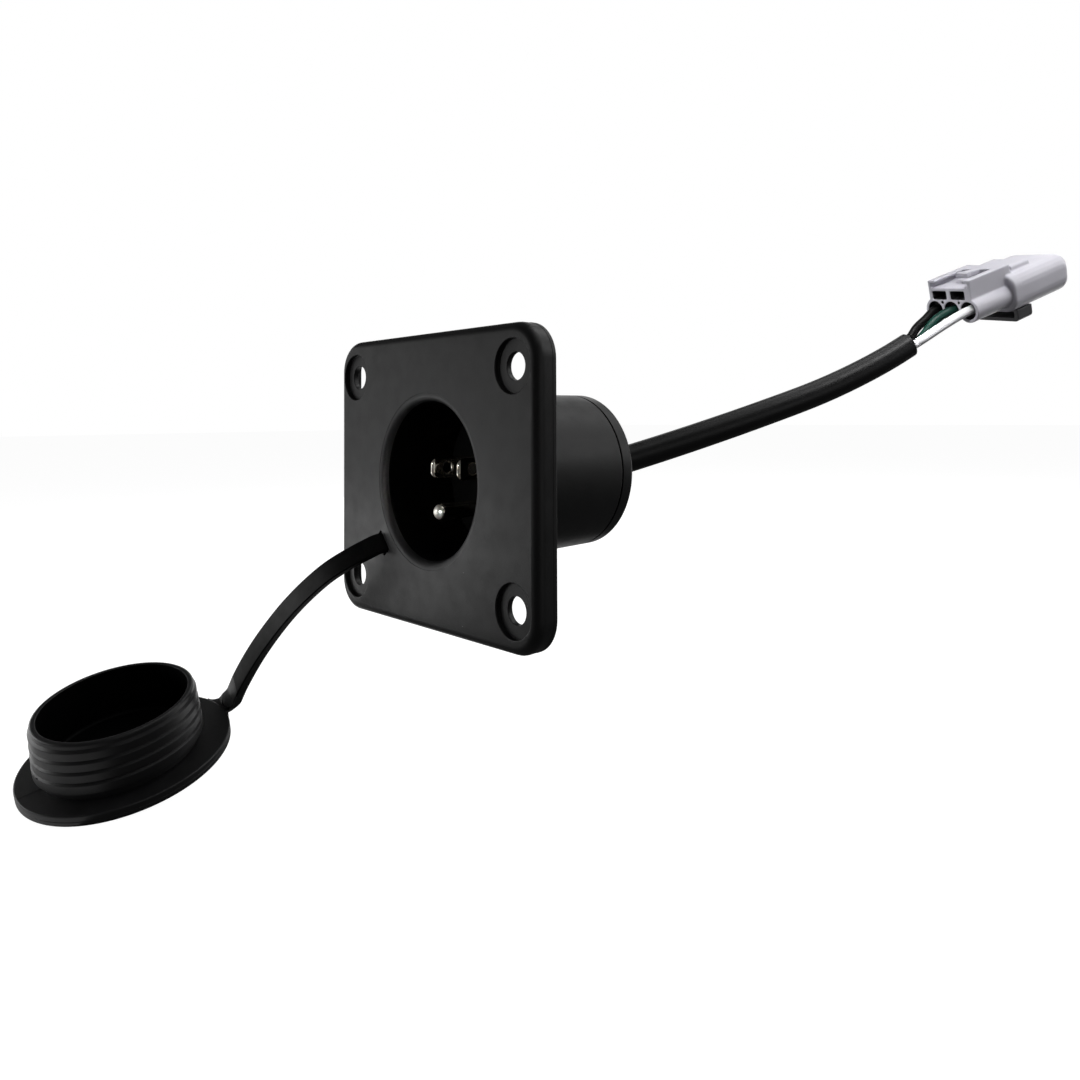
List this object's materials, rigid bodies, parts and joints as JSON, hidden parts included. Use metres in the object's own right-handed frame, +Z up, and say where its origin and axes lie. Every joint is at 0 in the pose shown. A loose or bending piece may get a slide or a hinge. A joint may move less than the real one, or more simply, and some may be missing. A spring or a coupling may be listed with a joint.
{
  "type": "charger port plate",
  "caption": "Rectangular panel plate with a recessed male mains inlet, tethered rubber plug cap, rear barrel and a short cable to a locking wire connector.",
  "frame": {"origin": "centre of the plate's rear rim plane, on the axis of the port", "axes": "+Z up along the plate, +X to the right seen from the front, +Y from the plate into the panel, along the barrel"},
  "size_m": [0.2536, 0.2929, 0.1847],
  "materials": {
    "plate_plastic": "satin black moulded plastic",
    "contact_metal": "bright plated metal",
    "terminal_metal": "dull tinned metal",
    "black_rubber": "semi-matt black rubber",
    "black_insulation": "smooth black insulation",
    "green_insulation": "smooth dark green insulation",
    "white_insulation": "smooth white insulation",
    "grey_plastic": "light grey moulded plastic",
    "dark_grey_plastic": "dark grey moulded plastic"
  },
  "bodies": {
    "inlet": {"flange_plate": "plate_plastic", "rear_cap": "plate_plastic", "contact_carrier": "plate_plastic", "blade_line": "contact_metal", "blade_neutral": "contact_metal", "ground_pin": "contact_metal", "terminal_line": "terminal_metal", "terminal_neutral": "terminal_metal", "terminal_ground": "terminal_metal", "lead_black": "black_insulation", "lead_white": "white_insulation", "lead_green": "green_insulation", "cable_grommet": "black_rubber", "cable_jacket": "black_rubber", "wire_black": "black_insulation", "wire_green": "green_insulation", "wire_white": "white_insulation", "connector_housing": "grey_plastic", "connector_retainer": "dark_grey_plastic", "connector_terminal_1": "terminal_metal", "connector_terminal_2": "terminal_metal", "connector_terminal_3": "terminal_metal", "wire_seal_1": "black_rubber", "wire_seal_2": "black_rubber", "wire_seal_3": "black_rubber"},
    "cap": {"sealing_cap": "black_rubber"}
  },
  "joints": [
    {"name": "cap_strap_swing", "type": "hinge", "parent": "inlet", "child": "cap", "pos_m": [-0.02265, -0.0047, -0.01921], "axis": [0.6468, 0, -0.7627], "range_deg": [-18, 4], "stiffness_Nm_per_rad": 1.2}
  ]
}
